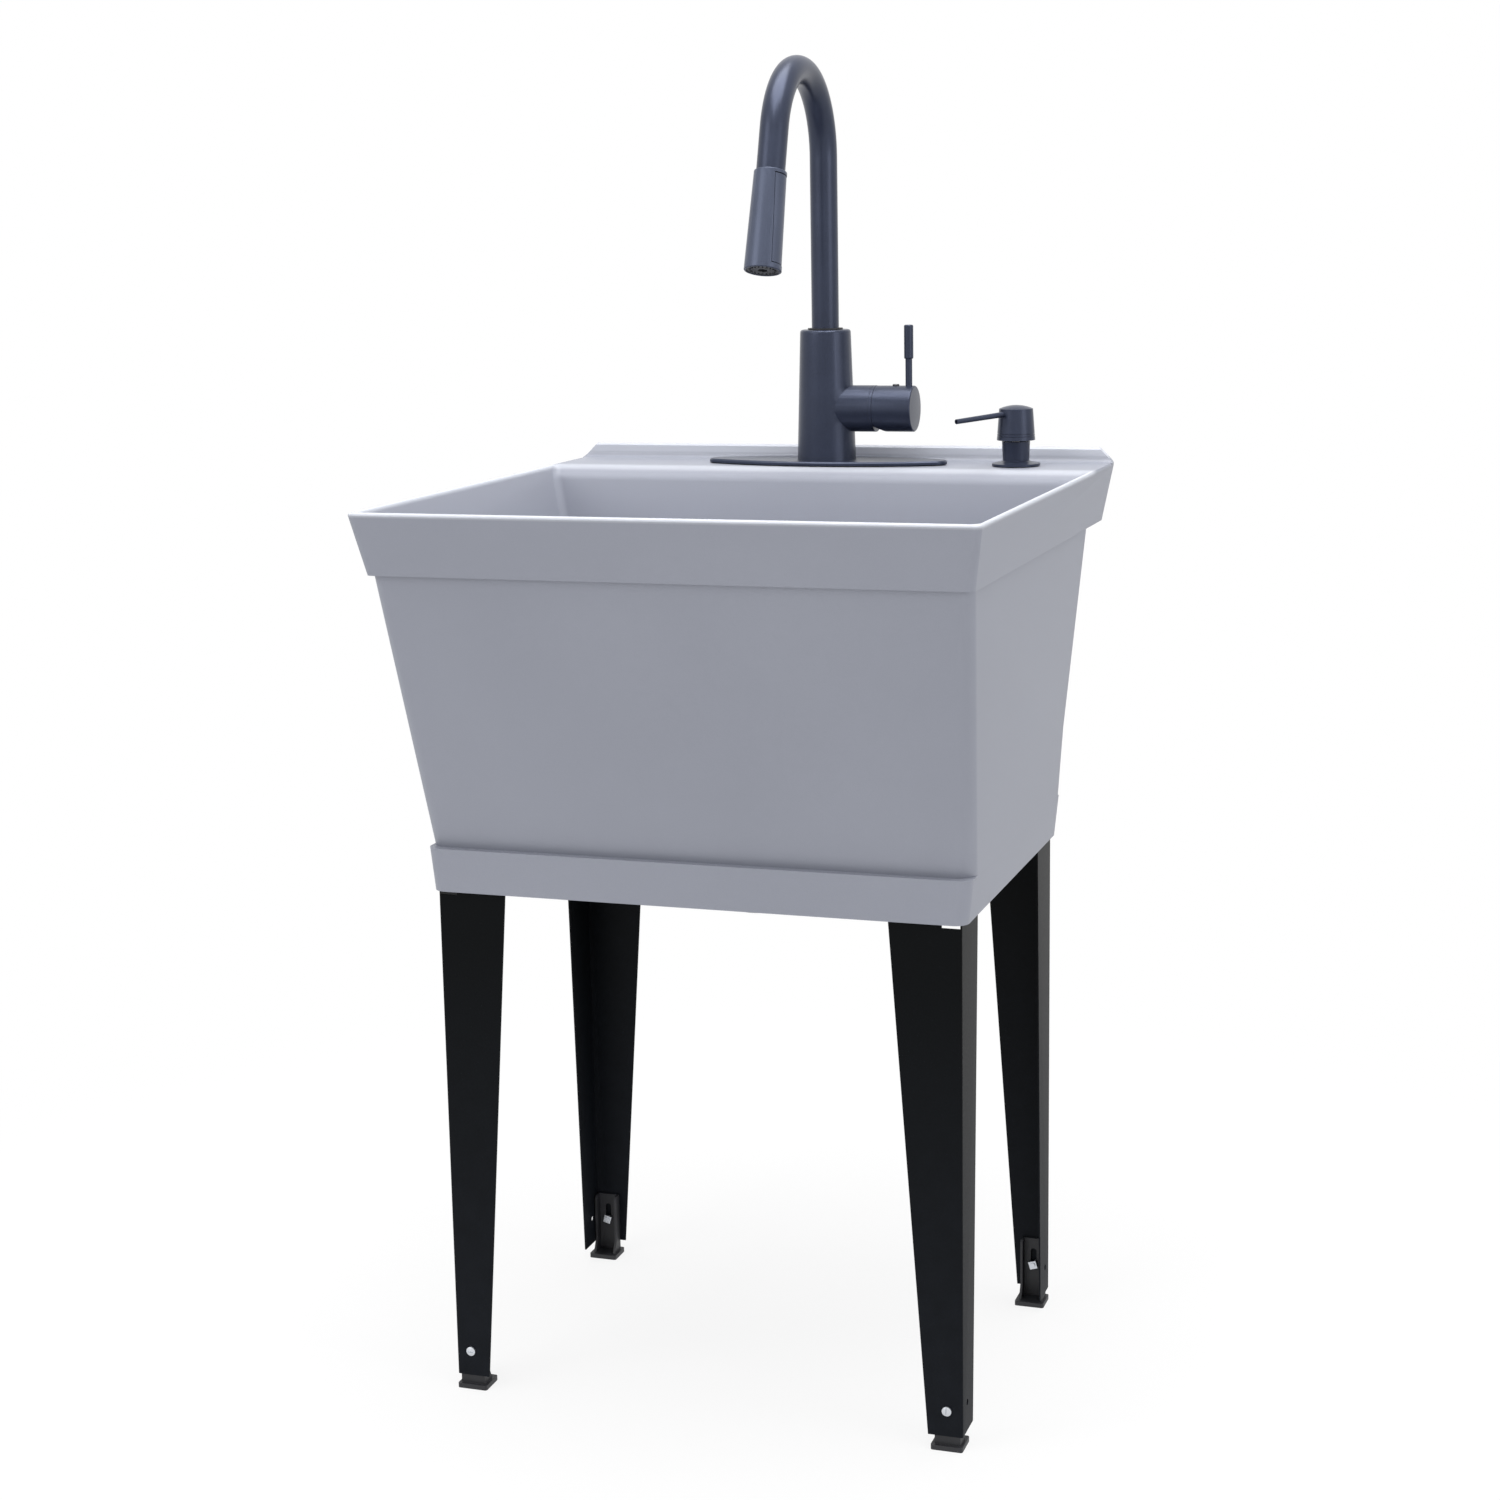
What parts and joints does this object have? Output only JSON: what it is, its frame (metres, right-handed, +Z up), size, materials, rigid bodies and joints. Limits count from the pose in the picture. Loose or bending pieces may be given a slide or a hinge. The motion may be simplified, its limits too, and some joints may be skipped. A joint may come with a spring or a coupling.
{
  "type": "utility laundry sink",
  "caption": "Freestanding utility laundry sink: deep tapered tub on folded steel legs with levelling feet, gooseneck pull-down faucet, side lever and soap pump.",
  "frame": {"origin": "on the floor under the middle of the rim", "axes": "+Z up, -Y front where the user stands, +X the side of the faucet handle"},
  "size_m": [0.581, 0.584, 1.272],
  "materials": {
    "tub_plastic": "fine grain, grey polypropylene",
    "leg_steel": "satin black powder coat",
    "foot_plastic": "black nylon",
    "zinc_steel": "bright zinc",
    "faucet_finish": "satin dark gunmetal",
    "head_plastic": "satin dark gunmetal",
    "face_plastic": "soft black",
    "index_plastic": "dark plug",
    "brass": "machined",
    "rubber": "matte",
    "drain_plastic": "white moulded",
    "drain_steel": "brushed",
    "cartridge_plastic": "white moulded",
    "cartridge_brass": "machined",
    "black_plastic": "black moulded",
    "bottle_plastic": "milky white",
    "hose_braid": "braided nylon"
  },
  "bodies": {
    "sink": {"cartridge": "cartridge_plastic", "cartridge_nut": "cartridge_brass", "deck_plate": "faucet_finish", "deck_plate_gasket": "rubber", "drain_body": "drain_steel", "drain_gasket": "rubber", "drain_locknut": "drain_plastic", "faucet_body": "faucet_finish", "faucet_clamp_washer": "zinc_steel", "faucet_mounting_nut": "brass", "faucet_rubber_washer": "rubber", "faucet_shank": "brass", "foot_nuts": "zinc_steel", "foot_screws": "zinc_steel", "leg_back_left": "leg_steel", "leg_back_right": "leg_steel", "leg_front_left": "leg_steel", "leg_front_right": "leg_steel", "soap_bottle": "bottle_plastic", "soap_collar": "faucet_finish", "soap_dip_tube": "cartridge_plastic", "soap_gasket": "rubber", "soap_nut": "black_plastic", "soap_pump_cylinder": "cartridge_plastic", "soap_spring": "zinc_steel", "spout_keeper_screw": "zinc_steel", "tailpiece": "drain_plastic", "tailpiece_nut": "drain_plastic", "tailpiece_washer": "rubber", "tub": "tub_plastic", "valve_trim_ring": "faucet_finish"},
    "levelling_foot_front_right": {"foot_front_right": "foot_plastic"},
    "levelling_foot_front_left": {"foot_front_left": "foot_plastic"},
    "levelling_foot_back_right": {"foot_back_right": "foot_plastic"},
    "levelling_foot_back_left": {"foot_back_left": "foot_plastic"},
    "strainer": {"drain_basket": "drain_steel", "drain_stopper": "rubber"},
    "spout": {"spout_tube": "faucet_finish", "spout_bush": "cartridge_plastic", "spout_o_rings": "rubber", "spout_glide_ring": "black_plastic", "spout_docking_sleeve": "cartridge_plastic"},
    "spray_head": {"spray_shell": "head_plastic", "spray_waterway": "cartridge_plastic", "spray_hose_connector": "cartridge_brass", "spray_face": "face_plastic", "aerator": "face_plastic", "spray_hose": "hose_braid"},
    "spray_button": {"spray_rocker": "head_plastic"},
    "mix_carrier": {"handle_carrier": "faucet_finish", "handle_pivot_pin": "zinc_steel"},
    "handle": {"handle_stem": "brass", "handle_hub": "faucet_finish", "lever_rod": "faucet_finish", "lever_grip": "faucet_finish", "index_plug": "index_plastic", "handle_set_screw": "zinc_steel"},
    "pump_stem": {"soap_pump_stem": "cartridge_plastic"},
    "pump_head": {"soap_head": "faucet_finish", "soap_nozzle": "faucet_finish"}
  },
  "joints": [
    {"name": "foot_front_right_level", "type": "slide", "parent": "sink", "child": "levelling_foot_front_right", "axis": [0, 0, 1], "range_m": [-0.013, 0.002]},
    {"name": "foot_front_left_level", "type": "slide", "parent": "sink", "child": "levelling_foot_front_left", "axis": [0, 0, 1], "range_m": [-0.013, 0.002]},
    {"name": "foot_back_right_level", "type": "slide", "parent": "sink", "child": "levelling_foot_back_right", "axis": [0, 0, 1], "range_m": [-0.013, 0.002]},
    {"name": "foot_back_left_level", "type": "slide", "parent": "sink", "child": "levelling_foot_back_left", "axis": [0, 0, 1], "range_m": [-0.013, 0.002]},
    {"name": "strainer_lift_out", "type": "slide", "parent": "sink", "child": "strainer", "axis": [0, 0, 1], "range_m": [0, 0.06]},
    {"name": "spout_swivel", "type": "hinge", "parent": "sink", "child": "spout", "pos_m": [0, 0.233, 0.98], "axis": [0, 0, 1], "range_deg": [-90, 90]},
    {"name": "spray_head_pull", "type": "slide", "parent": "spout", "child": "spray_head", "axis": [0, -0.3024, -0.9532], "range_m": [0, 0.2], "deforming": ["spray_hose"]},
    {"name": "spray_button_rock", "type": "hinge", "parent": "spray_head", "child": "spray_button", "pos_m": [0.00989, 0.04348, 1.11227], "axis": [-0.0436, 0.9523, -0.3021], "range_deg": [-1.5, 1.5]},
    {"name": "handle_mix", "type": "hinge", "parent": "sink", "child": "mix_carrier", "pos_m": [0.045, 0.233, 0.9213], "axis": [1, 0, 0], "range_deg": [-45, 45]},
    {"name": "handle_flow", "type": "hinge", "parent": "mix_carrier", "child": "handle", "pos_m": [0.066, 0.233, 0.9063], "axis": [0, 1, 0], "range_deg": [0, 25]},
    {"name": "soap_press", "type": "slide", "parent": "sink", "child": "pump_stem", "axis": [0, 0, 1], "range_m": [-0.013, 0], "stiffness_N_per_m": 500, "springref_m": 0.01, "deforming": ["soap_spring"]},
    {"name": "soap_turn", "type": "hinge", "parent": "pump_stem", "child": "pump_head", "pos_m": [0.2004, 0.233, 0.9], "axis": [0, 0, 1], "continuous": true}
  ]
}
